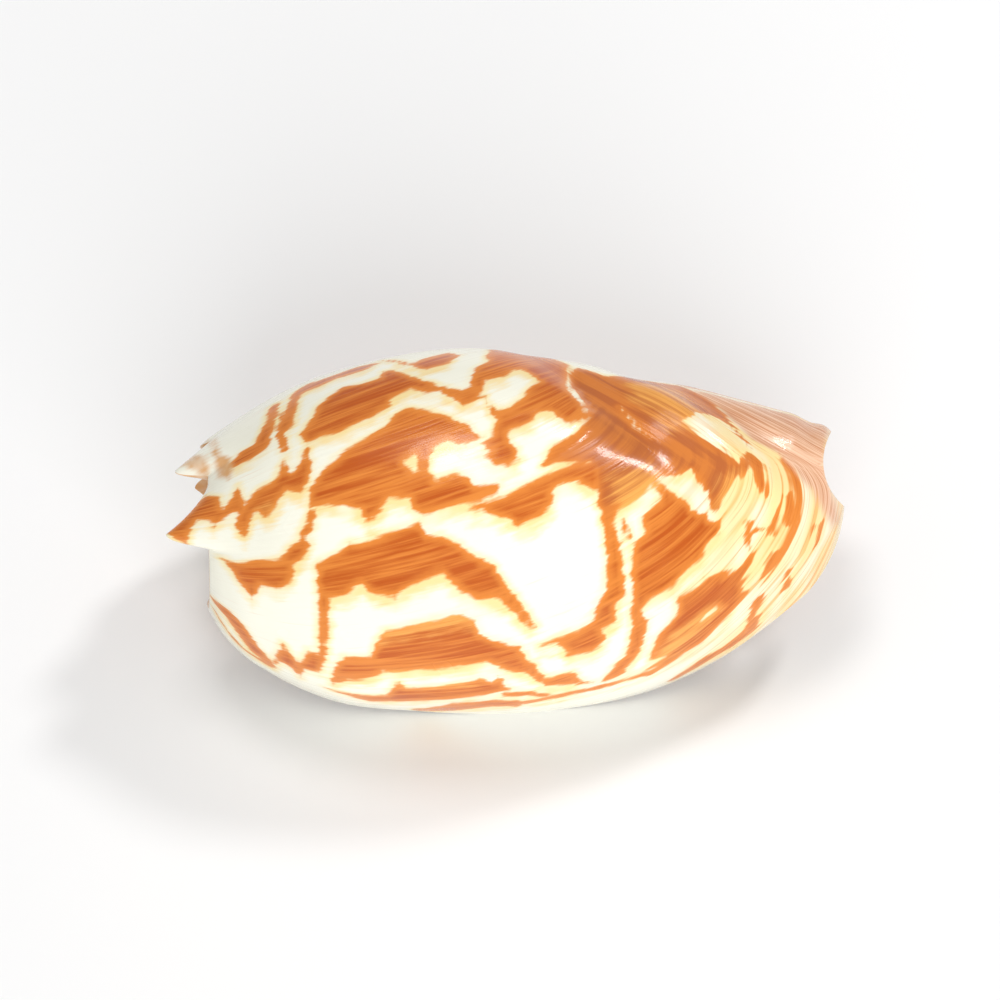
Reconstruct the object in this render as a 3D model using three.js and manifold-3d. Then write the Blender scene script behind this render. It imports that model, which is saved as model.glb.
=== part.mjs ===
// A melon shell: the empty shell of a large marine volute, grown as one piece.
// It lies on its aperture, with the spined crown towards -X and the siphonal notch towards +X.
// Millimetres and degrees, +Z up, origin at the middle of the bounding box's underside.
import * as THREE from "three";
import { mergeVertices } from "three/addons/utils/BufferGeometryUtils.js";
import Module from "manifold-3d";

// Driving dimensions of the shell's own frame: the coiling axis is x, from the apex to the siphonal end.
// "around" is the angle about that axis. Growth runs from the inner lip, over the back, to the outer lip.
const NOSE_X = 155.8; // where the body would close if the siphonal notch did not cut it
const NOSE_ROUNDING_X = 142;
const NOSE_POWER = 2.6;
const LIP_AROUND = -97;
const LIP_TWIST = 20; // how far the lip turns over the back at the siphonal end
const LIP_TWIST_FROM_X = 105;
const LIP_TWIST_OVER = 50;
const INNER_LIP_AROUND = 195; // where the body starts to fold in to the columella
const TURN = 360;
const WALL = 2.4;

// Body radius along the axis, as [x, radius]: underneath, half a turn on at the top, and at the columella.
const UNDERNEATH = -90;
const LIP_RADIUS = [[-2.8, 19], [0, 25.1], [4, 30.4], [12, 36.9], [24, 43.6], [48, 48.9], [78, 51.1],
  [108, 46.8], [132, 36.6], [144, 29.2], [150, 25], [158, 20]];
const TOP_RADIUS = [[-2.8, 17], [4, 23.3], [12, 28.1], [24, 33.3], [42, 37.5], [60, 39.1], [72, 38.3],
  [96, 31.4], [103, 28.6], [112, 27.1], [132, 20.7], [144, 16.6], [149, 15.2], [153, 18], [158, 22]];
const COLUMELLA_RADIUS = [[-2.8, 12], [15, 22], [30, 24], [45, 21.5], [60, 16.5], [75, 12], [95, 9.6],
  [120, 8], [158, 5]];

// Crown: the shoulder's level sinks back into the spire, and spines stand on it.
const SHOULDER_X = -2.8;
const SHOULDER_SINK = 8;
const SPIRE_FLOOR_X = 8.5;
const PROTOCONCH_RADIUS = 9.5;
const PROTOCONCH_HEIGHT = 6.5;
const PROTOCONCH_SEAT = 0.8; // share of its radius where the ramp's floor meets it
const FIRST_SPINE_AROUND = -2;
const SPINE_SPACING = 50;
const SPINE_HEIGHTS = [10.6, 8.3, 3, 6.4, 4]; // from the youngest back
const SPINE_RISE = 32; // degrees, on the older side
const SPINE_FALL = 11.5; // degrees, on the side towards the lip
const SPINE_BODY_REACH = 5;
const SPINE_RAMP_REACH = 2.2;
const SPINE_LEAN = 0.2;
const SPINE_SHARPNESS = 1.5;

// Siphonal fasciole: a ridge that winds back from the notch, a hollow band in front and a groove behind it.
const FASCIOLE_X = [[-44, 154], [0, 142.4], [24, 131.3], [45, 120.3], [75, 105.6], [130, 94], [215, 78]];
const FASCIOLE_RIDGE = { offset: -6, width: 5, height: 1.3 };
const FASCIOLE_VALLEY = { offset: -21, width: 6, height: -1.1 };
const FASCIOLE_GROOVE = { offset: 8, width: 6, height: -0.9 };
const FASCIOLE_FORMS = [FASCIOLE_RIDGE, FASCIOLE_VALLEY, FASCIOLE_GROOVE];
const FASCIOLE_FADE = 40;
const FASCIOLE_WORN_AROUND = 40; // past this angle the ridge is lower
const FASCIOLE_WORN = 0.4;
const NOTCH_RADIUS = 13.8;
const NOTCH_CENTRE_X = 164.4;
const NOTCH_CENTRE_Z = 3.1;
const NOTCH_LENGTH = 110;
const NOTCH_SIDES = 72;

// Columellar folds: oblique ridges on the pillar inside the aperture.
const FOLD_X = [82, 94, 106];
const FOLD_HEIGHT = 1.7;
const FOLD_WIDTH = 3.2;
const FOLD_SLANT = 0.14; // millimetres along the axis for each degree of turn

// Aperture and cavity: how far the hollow runs past the lip and back into the whorl.
const CAVITY_FRONT = -16;
const CAVITY_DEPTH = 305;
const CAVITY_SHOULDER = 5;
const CAVITY_NOSE_X = 155.4;
const CAVITY_TIGHTENING = 0.35;
const CAVITY_LEAST = 1.2;
const COLUMELLA_SKIN = 0.3;
const MOUTH_CLEARANCE = 0.15; // millimetres for each degree out of the lip
const CAVITY_CORNER = 3; // how sharply the hollow turns in at its two ends
const CAVITY_END_SHARE = 0.15; // where an end cap's middle lies, from the outer wall to the inner

// Resting pose on a flat surface, and the worn flats where the shell touches it.
const REST_ROLL = -58.2;
const REST_PITCH = -1;
const WORN_DEPTH = 0.5;

// Mesh fineness.
const BODY_TURN_STEPS = 72;
const BODY_STATIONS = 38;
const CROWN_SHARE = 0.24; // share of the stations that lie on the spire and ramp
const STATION_CROWDING = 0.6; // how far the stations crowd to the shoulder and the nose
const CAVITY_AROUND_STEPS = 40;
const CAVITY_DEPTH_STEPS = 36;
const MERGE_DISTANCE = 1e-4;
const SLIVER = 0.02;
const GROUND_SIZE = 600;

const wasm = await Module();
wasm.setup();

const radians = THREE.MathUtils.degToRad;
const mix = THREE.MathUtils.lerp;
const ease = (t) => THREE.MathUtils.smoothstep(t, 0, 1);
const bell = (distance, width) => Math.exp(-((distance / width) ** 2));

// A smooth curve through a few [position, value] stations.
function curveThrough(stations) {
  const at = stations.map(([position]) => position);
  const value = stations.map(([, v]) => v);
  const last = at.length - 1;
  const rise = (i) => (value[i + 1] - value[i]) / (at[i + 1] - at[i]);
  const slope = value.map((_, i) => {
    if (i === 0) return rise(0);
    if (i === last) return rise(last - 1);
    const before = at[i] - at[i - 1];
    const after = at[i + 1] - at[i];
    return (rise(i - 1) * after + rise(i) * before) / (before + after);
  });
  return (position) => {
    const p = THREE.MathUtils.clamp(position, at[0], at[last]);
    const i = Math.min(last - 1, Math.max(0, at.findIndex((a) => a > p) - 1, p >= at[last] ? last - 1 : 0));
    const span = at[i + 1] - at[i];
    const t = (p - at[i]) / span;
    const t2 = t * t;
    const t3 = t2 * t;
    return (2 * t3 - 3 * t2 + 1) * value[i] + (t3 - 2 * t2 + t) * span * slope[i]
      + (3 * t2 - 2 * t3) * value[i + 1] + (t3 - t2) * span * slope[i + 1];
  };
}

const lipRadius = curveThrough(LIP_RADIUS);
const topRadius = curveThrough(TOP_RADIUS);
const columellaRadius = curveThrough(COLUMELLA_RADIUS);
const fascioleX = curveThrough(FASCIOLE_X);

const lipAround = (x) => LIP_AROUND + LIP_TWIST * ease((x - LIP_TWIST_FROM_X) / LIP_TWIST_OVER);

function noseClosing(x) {
  const share = THREE.MathUtils.clamp((x - NOSE_ROUNDING_X) / (NOSE_X - NOSE_ROUNDING_X), 0, 1);
  return Math.sqrt(Math.max(0, 1 - share ** NOSE_POWER));
}

// The pillar's radius, with its oblique folds, at a distance along the axis and an angle around it.
function pillarRadius(x, around) {
  const slide = FOLD_SLANT * (around - (LIP_AROUND + TURN));
  const folds = FOLD_X.map((foldX) => FOLD_HEIGHT * bell(x - foldX + slide, FOLD_WIDTH));
  return columellaRadius(x) + folds.reduce((sum, h) => sum + h, 0);
}

// Relief of the fasciole, which fades out towards the lip and under the inner lip.
function fascioleRelief(x, around) {
  const [firstAngle] = FASCIOLE_X[0];
  const [lastAngle] = FASCIOLE_X[FASCIOLE_X.length - 1];
  const shown = ease((around - firstAngle) / FASCIOLE_FADE) * ease((lastAngle - around) / FASCIOLE_FADE);
  const worn = mix(1, FASCIOLE_WORN, ease((around - FASCIOLE_WORN_AROUND) / FASCIOLE_FADE));
  const beside = x - fascioleX(around);
  const forms = FASCIOLE_FORMS.map((form) => form.height * bell(beside - form.offset, form.width));
  return shown * worn * forms.reduce((sum, h) => sum + h, 0);
}

// Radius of the outside: a spiral that tightens from the lip over the back and then folds in to the pillar.
function bodyRadius(x, around) {
  const under = lipRadius(x);
  const spiral = under * (topRadius(x) / under) ** ((around - UNDERNEATH) / (TURN / 2));
  const fold = ease((around - INNER_LIP_AROUND) / (LIP_AROUND + TURN - INNER_LIP_AROUND));
  const radius = mix(spiral + fascioleRelief(x, around), pillarRadius(x, around), fold);
  return radius * noseClosing(x);
}

// Height of the crown's spines at an angle: each rises slowly with growth and breaks off towards the lip.
function spineHeight(around) {
  return SPINE_HEIGHTS.reduce((sum, height, k) => {
    const behind = around - (FIRST_SPINE_AROUND + k * SPINE_SPACING);
    const rising = Math.max(0, 1 - behind / SPINE_RISE) ** SPINE_SHARPNESS;
    const falling = Math.max(0, 1 - (behind / SPINE_FALL) ** 2);
    return sum + height * (behind >= 0 ? rising : falling);
  }, 0);
}

// A point of the shell's own frame from distance along the axis, radius and angle.
const place = (x, radius, around) =>
  new THREE.Vector3(x, -radius * Math.cos(radians(around)), radius * Math.sin(radians(around)));

// A point of the outside. turn runs 0 to 1 from the lip back; station runs 0 to 1 from the apex to the nose.
function bodyPoint(turn, station) {
  const shoulderX = SHOULDER_X + SHOULDER_SINK * turn;
  if (station < CROWN_SHARE) {
    const around = LIP_AROUND + TURN * turn;
    const rim = bodyRadius(shoulderX, around);
    const radius = rim * (station / CROWN_SHARE);
    const inward = ease((rim - radius) / (rim - PROTOCONCH_SEAT * PROTOCONCH_RADIUS));
    const dome = PROTOCONCH_HEIGHT * Math.sqrt(Math.max(0, 1 - (radius / PROTOCONCH_RADIUS) ** 2));
    const spine = spineHeight(around) * bell(rim - radius, SPINE_RAMP_REACH);
    return place(mix(shoulderX, SPIRE_FLOOR_X, inward) - dome - spine, radius - SPINE_LEAN * spine, around);
  }
  const along = (station - CROWN_SHARE) / (1 - CROWN_SHARE);
  const spaced = mix(along, (1 - Math.cos(Math.PI * along)) / 2, STATION_CROWDING);
  const x = mix(shoulderX, NOSE_X, spaced);
  const around = lipAround(x) + TURN * turn;
  const spine = spineHeight(around) * bell(x - shoulderX, SPINE_BODY_REACH);
  return place(x - spine, bodyRadius(x, around) - SPINE_LEAN * spine, around);
}

// A point of the hollow. depth runs 0 to 1 from outside the lip inwards; loop runs 0 to 1 round the passage.
function cavityPoint(depth, loop) {
  const back = mix(CAVITY_FRONT, CAVITY_DEPTH, depth);
  const shoulderX = SHOULDER_X + SHOULDER_SINK * Math.max(0, back / TURN) + CAVITY_SHOULDER;
  const x = mix(shoulderX, CAVITY_NOSE_X, (1 - Math.cos(TURN * radians(loop))) / 2);
  const around = lipAround(x) + back;
  const tightening = 1 - (CAVITY_TIGHTENING * Math.max(0, back)) / TURN;
  const wrapped = back < 0 ? bodyRadius(x, around + TURN) : pillarRadius(x, around + TURN) * noseClosing(x);
  const inner = wrapped * tightening + COLUMELLA_SKIN + MOUTH_CLEARANCE * Math.max(0, -back);
  const outer = Math.max(bodyRadius(x, Math.max(around, lipAround(x))) - WALL, inner + CAVITY_LEAST);
  const side = Math.sin(TURN * radians(loop));
  const openness = Math.sign(side) * Math.sqrt(Math.min(1, Math.abs(side) * CAVITY_CORNER));
  return place(x, mix(inner, outer, (1 + openness) / 2), around);
}

// A closed solid made by bending a sphere: each vertex's two angles, as shares, go to a point.
function bentSphere(columns, rows, pointAt) {
  const geometry = new THREE.SphereGeometry(1, columns, rows);
  const position = geometry.attributes.position;
  const share = geometry.attributes.uv;
  for (let i = 0; i < position.count; i++) {
    const column = Math.round(share.getX(i) * 2 * columns) / 2;
    const row = Math.round((1 - share.getY(i)) * rows);
    const point = pointAt(Math.floor(column) % columns, row);
    position.setXYZ(i, point.x, point.y, point.z);
  }
  return solidFrom(geometry);
}

function solidFrom(geometry, matrix = new THREE.Matrix4()) {
  const bare = geometry.clone().applyMatrix4(matrix);
  bare.deleteAttribute("normal");
  bare.deleteAttribute("uv");
  const merged = mergeVertices(bare, MERGE_DISTANCE);
  const corners = [];
  for (let i = 0; i < merged.index.count; i += 3) {
    const [a, b, c] = [0, 1, 2].map((k) => merged.index.getX(i + k));
    if (a !== b && b !== c && c !== a) corners.push(a, b, c);
  }
  return new wasm.Manifold(new wasm.Mesh({
    numProp: 3,
    vertProperties: merged.attributes.position.array,
    triVerts: new Uint32Array(corners),
  }));
}

function geometryFrom(solid) {
  const mesh = solid.getMesh();
  const geometry = new THREE.BufferGeometry();
  geometry.setAttribute("position", new THREE.BufferAttribute(mesh.vertProperties, mesh.numProp));
  geometry.setIndex(new THREE.BufferAttribute(mesh.triVerts, 1));
  return geometry;
}

const body = bentSphere(BODY_TURN_STEPS + 1, BODY_STATIONS, (column, row) =>
  bodyPoint(column / BODY_TURN_STEPS, row / BODY_STATIONS));
const cavity = bentSphere(CAVITY_AROUND_STEPS, CAVITY_DEPTH_STEPS, (column, row) => {
  const depth = THREE.MathUtils.clamp((row - 1) / (CAVITY_DEPTH_STEPS - 2), 0, 1);
  if (row > 0 && row < CAVITY_DEPTH_STEPS) return cavityPoint(depth, 1 - column / CAVITY_AROUND_STEPS);
  return cavityPoint(depth, 0.25).lerp(cavityPoint(depth, 0.75), CAVITY_END_SHARE);
});
const notch = solidFrom(
  new THREE.CylinderGeometry(NOTCH_RADIUS, NOTCH_RADIUS, NOTCH_LENGTH, NOTCH_SIDES),
  new THREE.Matrix4().makeTranslation(NOTCH_CENTRE_X, 0, NOTCH_CENTRE_Z),
);
const grown = body.subtract(cavity).subtract(notch).simplify(SLIVER);

// Laid on its aperture, worn flat where it touches, with the origin under the middle of its box.
const lying = new THREE.Matrix4().makeRotationY(radians(REST_PITCH))
  .multiply(new THREE.Matrix4().makeRotationX(radians(REST_ROLL)));
const laid = geometryFrom(grown).applyMatrix4(lying);
laid.computeBoundingBox();
const floorZ = laid.boundingBox.min.z + WORN_DEPTH;
const ground = solidFrom(
  new THREE.BoxGeometry(GROUND_SIZE, GROUND_SIZE, GROUND_SIZE),
  new THREE.Matrix4().makeTranslation(0, 0, floorZ - GROUND_SIZE / 2),
);
const settled = geometryFrom(solidFrom(laid).subtract(ground).simplify(SLIVER));
settled.computeBoundingBox();
const middle = settled.boundingBox.getCenter(new THREE.Vector3());
settled.translate(-middle.x, -middle.y, -settled.boundingBox.min.z);

const group = new THREE.Group();
const shell = new THREE.Mesh(
  settled,
  new THREE.MeshStandardMaterial({ color: 0xd98a4a, roughness: 0.28, metalness: 0 }),
);
shell.name = "shell";
group.add(shell);

export default group;
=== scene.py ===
import math

import bmesh
import bpy
import numpy as np
from bpy.props import FloatProperty, FloatVectorProperty, PointerProperty
from mathutils import Matrix, Vector, kdtree


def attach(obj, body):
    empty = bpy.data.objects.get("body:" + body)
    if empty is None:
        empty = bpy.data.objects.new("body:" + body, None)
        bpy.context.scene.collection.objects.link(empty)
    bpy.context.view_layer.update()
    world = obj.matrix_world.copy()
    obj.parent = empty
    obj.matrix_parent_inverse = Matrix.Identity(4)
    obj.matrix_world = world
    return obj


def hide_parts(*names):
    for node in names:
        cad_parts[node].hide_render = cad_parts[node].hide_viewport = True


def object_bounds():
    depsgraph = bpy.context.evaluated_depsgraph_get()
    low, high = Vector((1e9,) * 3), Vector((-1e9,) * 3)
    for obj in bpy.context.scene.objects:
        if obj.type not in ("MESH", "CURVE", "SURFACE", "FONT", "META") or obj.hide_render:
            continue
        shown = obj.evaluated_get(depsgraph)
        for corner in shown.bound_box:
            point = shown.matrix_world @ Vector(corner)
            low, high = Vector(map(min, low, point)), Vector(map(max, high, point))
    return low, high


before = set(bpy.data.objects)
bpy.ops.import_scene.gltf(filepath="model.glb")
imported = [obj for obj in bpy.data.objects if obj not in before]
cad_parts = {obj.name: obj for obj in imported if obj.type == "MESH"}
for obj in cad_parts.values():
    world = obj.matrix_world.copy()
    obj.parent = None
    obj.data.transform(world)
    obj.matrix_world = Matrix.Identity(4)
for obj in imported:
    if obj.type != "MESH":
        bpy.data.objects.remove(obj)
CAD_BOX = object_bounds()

bl_info = {
    "name": "Melon shell",
    "version": (1, 0, 0),
    "blender": (4, 5, 0),
    "location": "3D View > Sidebar > Melon shell",
    "description": "A melon volute shell with its crown of spines and its painted back",
    "category": "Add Mesh",
}

NODE = "shell"

# The shell's own frame, in millimetres: x runs along the coiling axis from the crown to the nose,
# and the angle around it, in degrees, is 0 towards the viewer and 90 at the top of the back.
MM = 0.001
TURN = 360.0
UNDERNEATH = -90.0

NOSE_X = 155.8
NOSE_ROUNDING_X = 142.0
NOSE_POWER = 2.6
LIP_AROUND = -97.0
LIP_TWIST = 20.0
LIP_TWIST_FROM_X = 105.0
LIP_TWIST_OVER = 50.0
INNER_LIP_AROUND = 195.0

# Radius under the shell, on top of it and of the pillar inside, at distances along the axis.
LIP_RADIUS = ((-2.8, 19), (0, 25.1), (4, 30.4), (12, 36.9), (24, 43.6), (48, 48.9), (78, 51.1),
              (108, 46.8), (132, 36.6), (144, 29.2), (150, 25), (158, 20))
TOP_RADIUS = ((-2.8, 17), (4, 23.3), (12, 28.1), (24, 33.3), (42, 37.5), (60, 39.1), (72, 38.3),
              (96, 31.4), (103, 28.6), (112, 27.1), (132, 20.7), (144, 16.6), (149, 15.2), (153, 18),
              (158, 22))
COLUMELLA_RADIUS = ((-2.8, 12), (15, 22), (30, 24), (45, 21.5), (60, 16.5), (75, 12), (95, 9.6),
                    (120, 8), (158, 5))

SHOULDER_X = -2.8
SHOULDER_SINK = 8.0
SPIRE_FLOOR_X = 8.5
PROTOCONCH_RADIUS = 9.5
PROTOCONCH_HEIGHT = 6.5
PROTOCONCH_SEAT = 0.8

# The first whorls: how far apart their sutures are, how they swell and where they end.
WHORL_PITCH = 4.6
WHORL_SWELL = 0.7
WHORL_ROUNDING = 0.6
WHORL_END = (9.0, 11.5)
SEAM_WIDTH = 0.35

FIRST_SPINE_AROUND = -2.0
SPINE_SPACING = 50.0
SPINE_HEIGHTS = (10.6, 8.3, 3.0, 6.4, 4.0)
SPINE_RISE = 32.0
SPINE_FALL = 11.5
SPINE_BODY_REACH = 5.0
SPINE_RAMP_REACH = 2.2
SPINE_LEAN = 0.2
SPINE_SHARPNESS = 1.5

# The fasciole: its place along the axis by angle, and its low forms (offset, width, height).
FASCIOLE_X = ((-44, 154), (0, 142.4), (24, 131.3), (45, 120.3), (75, 105.6), (130, 94), (215, 78))
FASCIOLE_FORMS = ((-6, 5.5, 1.7), (-23, 7, -1.8), (8, 6, -1.1))
FASCIOLE_FADE = 40.0
FASCIOLE_WORN = 0.4
FASCIOLE_WORN_AROUND = 40.0

FOLD_X = (82, 94, 106)
FOLD_HEIGHT = 1.7
FOLD_WIDTH = 3.2
FOLD_SLANT = 0.14

NOTCH_RADIUS = 13.8
NOTCH_PLACE = (164.4, 3.1)
NOTCH_LENGTH = 110.0
NOTCH_SEGMENTS = 128

CAVITY_FRONT = -16.0
CAVITY_DEPTH = 305.0
CAVITY_SHOULDER = 5.0
CAVITY_NOSE_X = 155.4
CAVITY_TIGHTENING = 0.35
CAVITY_LEAST = 1.2
CAVITY_CORNER = 3.0
CAVITY_END_SHARE = 0.15
COLUMELLA_SKIN = 0.3
MOUTH_CLEARANCE = 0.15

# How the shell lies: its roll and pitch at rest.
REST_ROLL = -58.2
REST_PITCH = -1.0

# Growth lines: they cross the back at a slope and hook round beside the fasciole, more so over the back.
GROWTH_SLOPE = 0.25
HOOK_SWING = (60.0, 80.0)
HOOK_REACH = 20.0
HOOK_LEAST_BESIDE = -12.0
HOOK_AROUND = (10.0, 40.0)
NOSE_GRAIN_BESIDE = 32.0
NOSE_GRAIN_FADE = 12.0
NOSE_GRAIN_AROUND = (0.0, 26.0)
NOSE_GRAIN_SLANT = 0.12

# The photograph: its width in pixels, the pixel at which the shell's own origin shows, the rise of the axis
# across it, and how markings read from it are settled on the shell and run on over its edge.
PHOTO_PIXELS = 1000
PHOTO_ORIGIN = (212, 528)
AXIS_RISE = 0.08
SETTLING_STEPS = 40
SETTLING_SHARE = 0.5
OVER_EDGE = 120.0
OVER_EDGE_MOST = 0.1
LEAST_RADIUS = 1.0

# A healed break in growth: its line in the photograph's pixels, its drop and how it fades.
SCAR_LINE = ((570, 368), (571, 382), (578, 395), (587, 408), (587, 420), (583, 428), (571, 440), (552, 455),
             (537, 463), (505, 471))
SCAR_DROP = 1.2
SCAR_FADE = 9.0
SCAR_EDGE = 0.35
SCAR_END_FADE = 10.0

# Markings, measured on the unrolled back, and where the warm ground, far flesh band and glaze begin.
MM_PER_DEGREE = 0.73
MARK_REACH = 8.0
WARM_FROM_X = 104.0
WARM_OVER = 30.0
BLEED_DEGREES = 4.6
FAR_FLESH_BESIDE = 12.0
FAR_FLESH_AROUND = 72.0
GLAZE_FROM = 190.0
GLAZE_OVER = 40.0
SAME_POINT = 1e-3

# Fineness of the modelled surface.
TURN_STEPS = 330
STATIONS = 190
CROWN_SHARE = 0.24
STATION_CROWDING = 0.6
CAVITY_LOOP_STEPS = 90
CAVITY_DEPTH_STEPS = 96
SHARP_ANGLE = 50.0
GROUND_PRECISION = 1e-7

# Noise of the finish, in waves per millimetre along and across the growth lines, and its spots per metre.
FINE_LINES = (0.04, 1.0)
BROAD_LINES = (0.03, 0.25)
RAGGED_LINES = (0.16, 0.5)
CLOUDS = (0.07, 0.07)
SPOTS_PER_METRE = 220.0

# How far noise moves the edges of the markings, in millimetres.
NOISE_RANGE = (0.3, 0.7)
FINE_JITTER = 0.28
RAGGED_JITTER = 0.5
LOOSE_JITTER = 1.8

# Where each shade begins and is complete, in millimetres, noise or a share, and its strengths there.
PATCH_EDGE = (-0.55, 0.45)
HALO_EDGE = (-2.4, 0.2)
HALO_CLOUD = (0.3, 0.6, 0.25, 0.8)
BLEED_EDGE = (-1.5, 2.0)
BLEED_CLOUD = (0.35, 0.58, 0.25, 0.95)
WARM_CLOUD = (0.35, 0.6, 0.35, 0.95)
WARM_BANDS = (0.5, 0.66, 0.0, 0.7)
WARM_LINES = (0.55, 0.68, 0.0, 0.55)
GROUND_LINES = (0.6, 0.76, 0.0, 0.24)
CORE_EDGE = (0.0, 2.4, 0.0, 0.9)
STREAKS = (0.38, 0.66)
CALM_STREAKS = (0.4, 0.62)
RED_EDGE = (-1.0, 3.0)
RED_STREAKS = (0.0, 1.0, 0.15, 0.65)
AMBER_EDGE = (-2.6, 2.0)
AMBER_STREAKS = (0.0, 1.0, 0.35, 1.0)
FLESH_EDGE = (-1.6, 1.2, 0.0, 0.95)
FLESH_LINES = (0.36, 0.62)
TAN_EDGE = (-1.2, 1.2)
TAN_SPOTS = (0.3, 0.65, 0.6, 1.0)
WHORL_SPOTS = (0.35, 0.65)
CROWN_EDGE = (0.35, 1.0)

# Shares of fine lines in streaks, strengths of two shades, and how strongly noise moves some edges.
FINE_IN_STREAKS = 0.6
FINE_IN_CALM_STREAKS = 0.25
SEAM_STRENGTH = 0.8
GLAZE_STRENGTH = 0.85
BLEED_JITTER = 2.0
AMBER_JITTER = 3.0
FLESH_JITTER = 0.8

# Gloss of the shell.
ROUGHNESS = (0.14, 0.28)
SPECULAR_LEVEL = 0.25
COAT_WEIGHT = 0.16
COAT_ROUGHNESS = 0.06
BUMP_STRENGTH = 0.35
BUMP_DISTANCE = 0.0004

# The stage, in metres, with each light's place, width and power in watts.
FLOOR_REACH = 3.0
FLOOR_ROUGHNESS = 0.9
LIGHT_AIM = (0, 0, 0.03)
LIGHTS = {
    "key": {"at": (0.72, 0.61, 1.1), "size": 0.24, "power": 6},
    "overhead": {"at": (-0.12, 0.42, 1.35), "size": 0.45, "power": 4.5},
    "front": {"at": (0.15, -1.4, 0.75), "size": 1.4, "power": 19, "gloss": False},
}
STUDIO_STRENGTH = 0.36
SENSOR_WIDTH = 36.0
CAMERA_SIGHT = 20.0

# Markings of the side that the photograph shows, read as outlines in its pixels (across, down).
BROWN_PATCHES = {
    "zigzag": (
        (270, 664), (277, 655), (284, 642), (290, 650), (299, 664), (310, 650), (317, 653), (327, 645),
        (325, 661), (320, 672), (305, 668), (300, 677), (293, 668), (282, 662)),
    "left_chain": (
        (221, 557), (238, 563), (257, 560), (283, 559), (290, 547), (300, 540), (304, 530), (309, 518),
        (312, 503), (318, 516), (313, 529), (308, 533), (311, 545), (303, 558), (294, 567), (295, 578),
        (279, 588), (262, 584), (256, 595), (252, 599), (248, 589), (238, 579), (231, 567)),
    "left_middle": (
        (251, 500), (259, 490), (275, 482), (281, 472), (285, 460), (293, 474), (300, 466), (306, 452),
        (309, 444), (313, 470), (309, 483), (303, 493), (287, 490), (281, 501), (271, 517), (266, 518),
        (258, 511), (251, 519), (249, 533), (245, 537), (237, 526), (240, 513)),
    "near_spine": (
        (168, 532), (184, 520), (200, 506), (206, 499), (219, 498), (224, 510), (234, 498), (240, 485),
        (243, 498), (248, 512), (241, 516), (236, 512), (219, 523), (213, 529), (212, 521), (198, 522),
        (191, 531), (188, 542), (175, 537)),
    "upper": (
        (302, 433), (313, 419), (318, 408), (328, 398), (342, 388), (363, 384), (382, 378), (383, 372),
        (393, 371), (418, 379), (440, 387), (462, 391), (474, 386), (482, 398), (464, 406), (454, 399),
        (438, 391), (425, 394), (413, 389), (392, 399), (391, 405), (375, 416), (352, 427), (338, 434),
        (322, 437), (309, 445), (303, 438)),
    "top_stripe": (
        (380, 361), (397, 361), (412, 364), (428, 358), (448, 353), (460, 356), (448, 364), (425, 371),
        (402, 365)),
    "upper_right": (
        (470, 384), (474, 371), (487, 362), (490, 350), (540, 356), (568, 366), (566, 391), (581, 404),
        (584, 416), (569, 426), (559, 418), (550, 411), (538, 412), (533, 416), (534, 421), (510, 430),
        (506, 436), (517, 452), (520, 459), (508, 466), (497, 464), (484, 459), (492, 450), (479, 444),
        (491, 438), (496, 422), (489, 408), (482, 396)),
    "pink_band": (
        (311, 506), (311, 488), (323, 472), (338, 459), (357, 444), (387, 426), (396, 414), (409, 408),
        (433, 412), (456, 421), (466, 425), (482, 439), (462, 443), (467, 447), (449, 441), (436, 447),
        (430, 455), (428, 473), (436, 481), (455, 474), (468, 477), (476, 485), (499, 484), (496, 494),
        (472, 503), (459, 504), (425, 516), (413, 509), (411, 497), (389, 498), (383, 509), (373, 521),
        (367, 521), (361, 509), (344, 505), (328, 505)),
    "diagonal": (
        (466, 512), (480, 503), (505, 496), (540, 478), (573, 463), (600, 458), (600, 480), (594, 490),
        (578, 482), (560, 483), (553, 487), (551, 503), (540, 516), (518, 527), (507, 518), (484, 511)),
    "centre": (
        (318, 563), (338, 553), (350, 543), (371, 542), (390, 532), (420, 522), (428, 535), (444, 536),
        (458, 544), (480, 558), (493, 564), (508, 586), (526, 610), (536, 625), (527, 627), (511, 608),
        (495, 597), (480, 599), (460, 590), (443, 573), (428, 577), (404, 590), (395, 597), (371, 591),
        (362, 583), (346, 595), (331, 598), (329, 626), (327, 655), (320, 652), (320, 606)),
    "lower_middle": (
        (377, 641), (386, 631), (412, 624), (456, 614), (475, 619), (480, 634), (500, 641), (519, 646),
        (526, 658), (541, 673), (530, 673), (508, 670), (487, 661), (468, 664), (437, 668), (400, 671),
        (384, 670), (372, 678), (345, 679), (331, 684), (336, 665), (346, 656), (372, 656)),
    "bottom_band": (
        (325, 687), (355, 694), (388, 695), (398, 680), (407, 688), (446, 685), (480, 677), (494, 682),
        (500, 671), (506, 687), (511, 689), (466, 697), (410, 701), (372, 701), (344, 694)),
    "bottom_stripes": (
        (520, 668), (533, 662), (545, 678), (573, 671), (580, 679), (600, 682), (619, 670), (629, 671),
        (604, 682), (570, 684), (545, 686), (532, 676)),
    "column": (
        (597, 500), (603, 525), (606, 555), (605, 590), (597, 604), (593, 617), (577, 631), (560, 636),
        (537, 645), (557, 643), (567, 650), (567, 655), (592, 650), (606, 640), (600, 629), (616, 621),
        (614, 604), (625, 592), (621, 563), (620, 546), (611, 522), (618, 508)),
    "right_dark": (
        (633, 598), (630, 562), (634, 545), (644, 533), (641, 517), (659, 497), (653, 483), (664, 486),
        (686, 505), (709, 516), (721, 526), (721, 534), (708, 542), (703, 556), (684, 570), (672, 586),
        (650, 598), (636, 603)),
    "lower_right": (
        (676, 598), (701, 583), (704, 576), (720, 574), (741, 564), (748, 550), (753, 560), (743, 584),
        (744, 592), (730, 614), (704, 640), (680, 656), (650, 675), (642, 676), (658, 665), (641, 672),
        (664, 656), (649, 659), (656, 637), (677, 612)),
}
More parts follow.
